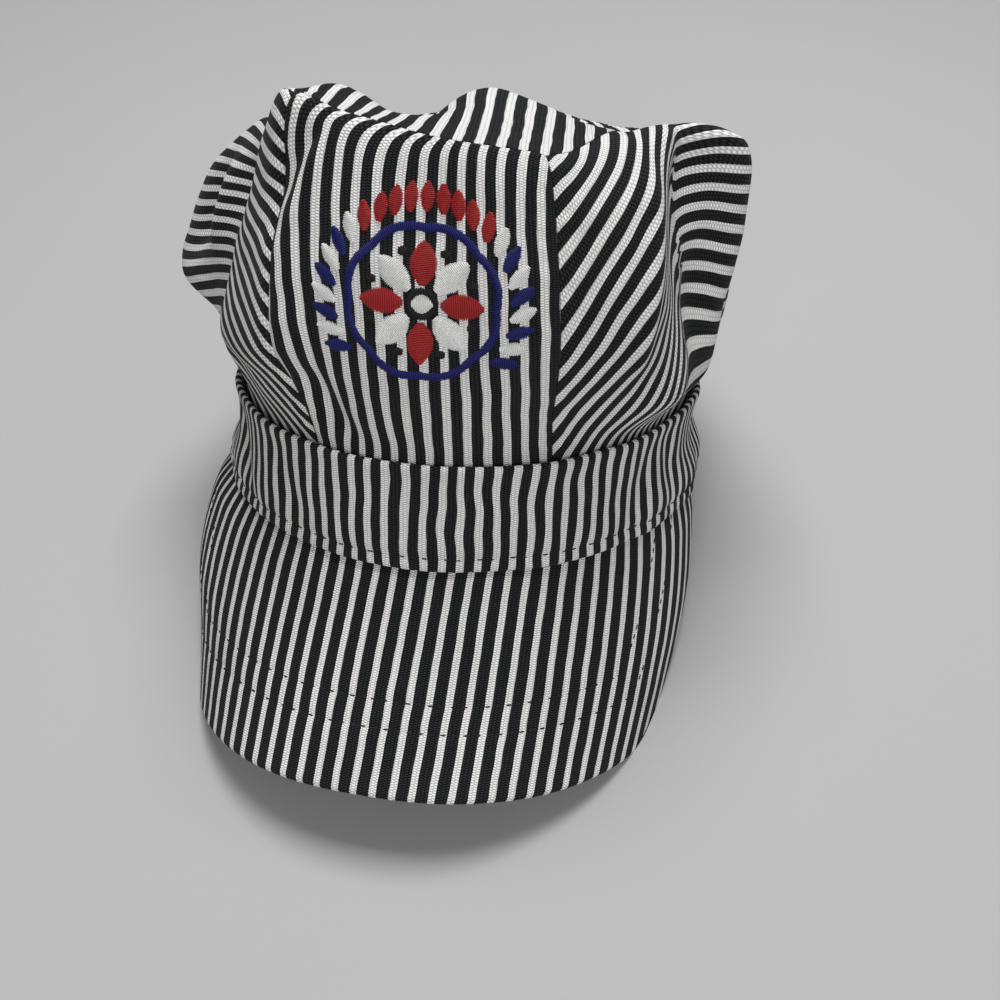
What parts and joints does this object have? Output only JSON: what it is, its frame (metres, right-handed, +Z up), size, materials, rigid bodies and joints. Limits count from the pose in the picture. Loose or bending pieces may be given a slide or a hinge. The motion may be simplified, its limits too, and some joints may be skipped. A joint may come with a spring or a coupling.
{
  "type": "conductor cap",
  "caption": "Soft striped conductor cap with a tall pleated crown, a plain band and a curved stiff peak, resting on the peak and the back of the band.",
  "frame": {"origin": "centre of the cap's floor outline, on the surface that it rests on", "axes": "+Z up, -Y the way the peak points, +X toward the wearer's left"},
  "size_m": [0.1822, 0.262, 0.1804],
  "materials": {
    "crown_cloth": "black and white striped cotton canvas",
    "band_cloth": "black and white striped cotton canvas",
    "peak_cloth": "black and white striped cotton canvas over a stiff core"
  },
  "bodies": {
    "root": {"band": "band_cloth", "peak": "peak_cloth", "front_panel": "crown_cloth", "right_side_panel": "crown_cloth", "left_side_panel": "crown_cloth", "top_panel": "crown_cloth"}
  },
  "joints": []
}
